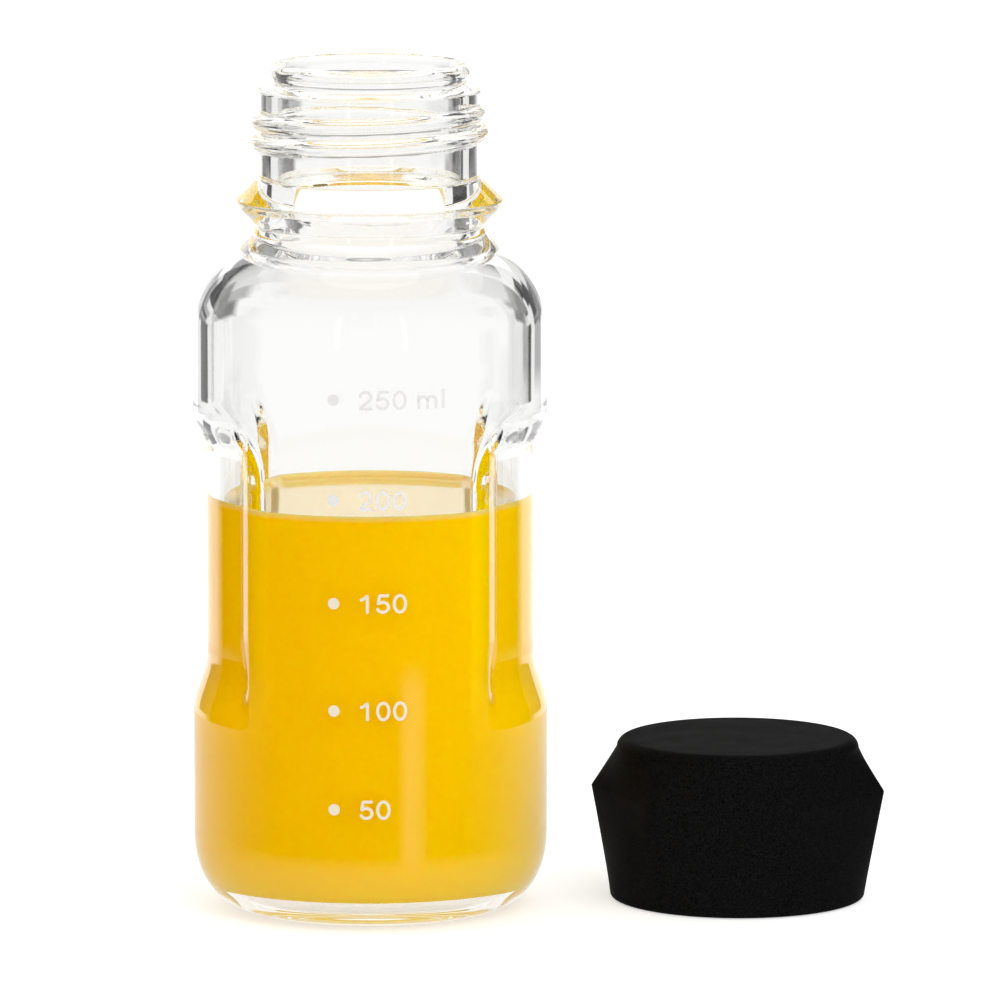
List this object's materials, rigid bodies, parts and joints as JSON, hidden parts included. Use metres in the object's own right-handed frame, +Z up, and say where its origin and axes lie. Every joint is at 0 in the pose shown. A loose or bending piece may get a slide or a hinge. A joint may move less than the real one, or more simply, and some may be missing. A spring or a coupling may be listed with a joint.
{
  "type": "glass drinking bottle",
  "caption": "Clear glass drinking bottle with a screw neck, pressed-in side grips and volume marks, partly filled with orange juice, its black hexagonal cap beside it.",
  "frame": {"origin": "on the bottle's axis, in the plane that its underside stands on", "axes": "+Z up along the bottle's axis, -Y out of the front with the volume marks, +X to the side where the cap lies"},
  "size_m": [0.1296, 0.0665, 0.1586],
  "materials": {
    "clear_glass": "clear, fire-polished",
    "orange_juice": "cloudy liquid with a still, wet surface",
    "black_silicone": "matte"
  },
  "bodies": {
    "root": {"glass_bottle": "clear_glass", "orange_juice": "orange_juice", "cap": "black_silicone"}
  },
  "joints": []
}
